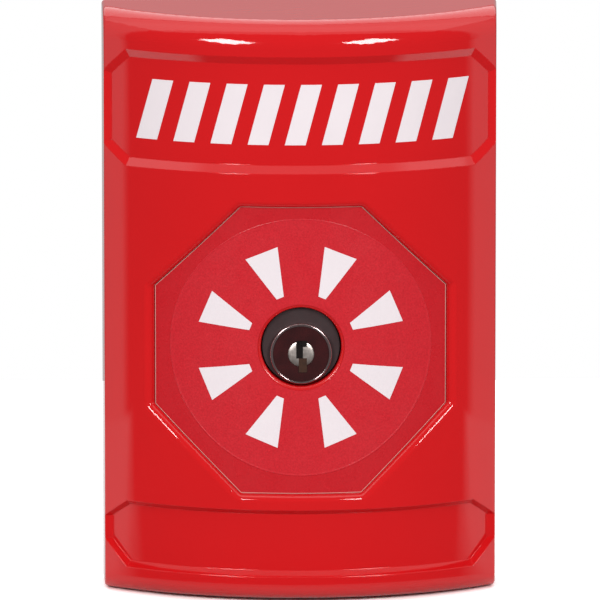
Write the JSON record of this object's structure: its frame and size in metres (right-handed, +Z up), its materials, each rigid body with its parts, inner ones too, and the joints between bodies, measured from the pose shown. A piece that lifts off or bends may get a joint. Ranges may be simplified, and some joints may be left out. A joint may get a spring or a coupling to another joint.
{
  "type": "wall emergency push button",
  "caption": "Wall station with a bowed cover, an octagonal latching push plate, a key lock that resets it, springs, a latch bar and contact blocks on a mounting plate.",
  "frame": {"origin": "on the wall, behind the middle of the cover", "axes": "+X to the right and +Z up as seen from the front, +Y into the wall"},
  "size_m": [0.083, 0.0424, 0.124],
  "materials": {
    "cover_plastic": "glossy red moulded plastic",
    "plate_plastic": "glossy red moulded plastic",
    "label_film": "fine-grained red film",
    "chassis_plastic": "satin black moulded plastic",
    "block_plastic": "satin dark grey moulded plastic",
    "plunger_plastic": "natural moulded plastic",
    "lock_chrome": "polished chrome plating",
    "lock_face": "dark satin",
    "lock_core": "plain nickel plating",
    "plated_sheet": "zinc-plated sheet",
    "plated_steel": "zinc-plated steel",
    "spring_steel": "bare spring steel",
    "screw_steel": "zinc-plated steel",
    "contact_brass": "plain brass"
  },
  "bodies": {
    "housing": {"front_cover": "cover_plastic", "mounting_plate": "plated_sheet", "chassis": "chassis_plastic", "lock_body": "lock_chrome", "lock_face_ring": "lock_face", "lock_washer": "plated_steel", "lock_nut": "plated_steel", "return_spring_1": "spring_steel", "return_spring_2": "spring_steel", "return_spring_3": "spring_steel", "return_spring_4": "spring_steel", "latch_spring": "spring_steel", "contact_block_left": "block_plastic", "contact_block_right": "block_plastic", "contact_spring_left": "spring_steel", "contact_spring_right": "spring_steel", "contact_strips": "contact_brass", "terminal_screws": "screw_steel", "terminal_clamps": "plated_steel", "chassis_screws": "screw_steel", "cover_screws": "screw_steel"},
    "push_panel": {"push_plate": "plate_plastic", "push_label": "label_film", "catch_spring_upper": "spring_steel", "catch_spring_lower": "spring_steel", "catch_screws": "screw_steel"},
    "key_core": {"lock_core": "lock_core", "release_cam": "plated_steel", "cam_screw": "screw_steel"},
    "latch": {"latch_bar": "plated_steel"},
    "plunger_left": {"contact_plunger_left": "plunger_plastic", "contact_bridge_left": "contact_brass"},
    "plunger_right": {"contact_plunger_right": "plunger_plastic", "contact_bridge_right": "contact_brass"}
  },
  "joints": [
    {"name": "panel_press", "type": "slide", "parent": "housing", "child": "push_panel", "axis": [0, 1, 0], "range_m": [0, 0.004], "stiffness_N_per_m": 2000, "springref_m": -0.002, "deforming": ["return_spring_1", "return_spring_2", "return_spring_3", "return_spring_4", "catch_spring_upper", "catch_spring_lower"]},
    {"name": "key_turn", "type": "hinge", "parent": "housing", "child": "key_core", "pos_m": [0, -0.0253, -0.00905], "axis": [0, 1, 0], "range_deg": [0, 90]},
    {"name": "bar_slide", "type": "slide", "parent": "housing", "child": "latch", "axis": [-1, 0, 0], "range_m": [0, 0.0016], "stiffness_N_per_m": 500, "springref_m": -0.001, "deforming": ["latch_spring"]},
    {"name": "plunger_left_slide", "type": "slide", "parent": "housing", "child": "plunger_left", "axis": [0, 1, 0], "range_m": [0, 0.004], "deforming": ["contact_spring_left"]},
    {"name": "plunger_right_slide", "type": "slide", "parent": "housing", "child": "plunger_right", "axis": [0, 1, 0], "range_m": [0, 0.004], "deforming": ["contact_spring_right"]}
  ],
  "couplings": [
    {"joint": "key_turn", "follows": "bar_slide", "rad_per_m": 981.7},
    {"joint": "plunger_left_slide", "follows": "panel_press", "ratio": 1},
    {"joint": "plunger_right_slide", "follows": "panel_press", "ratio": 1}
  ]
}
